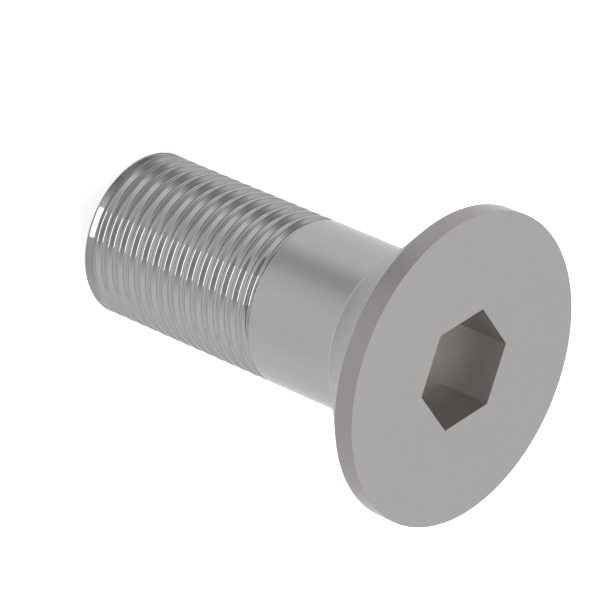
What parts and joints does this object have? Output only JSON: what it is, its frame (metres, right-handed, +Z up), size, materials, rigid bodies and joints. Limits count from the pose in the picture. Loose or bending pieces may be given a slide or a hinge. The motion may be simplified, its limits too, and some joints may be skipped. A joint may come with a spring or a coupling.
{
  "type": "countersunk screw",
  "caption": "Countersunk machine screw with a flat head, hexagon socket, plain neck and fine thread, standing on the flat end of its thread.",
  "frame": {"origin": "middle of the flat end of the thread, on the surface that the screw stands on", "axes": "+Z up the screw's own axis, from the end of the thread to the flat of the head; +X towards a corner of the hexagon socket; +Y square to both, towards the middle of one of its flats"},
  "size_m": [0.03, 0.03, 0.04],
  "materials": {
    "steel": "plain satin steel, lightly polished"
  },
  "bodies": {
    "root": {"countersunk_screw": "steel"}
  },
  "joints": []
}
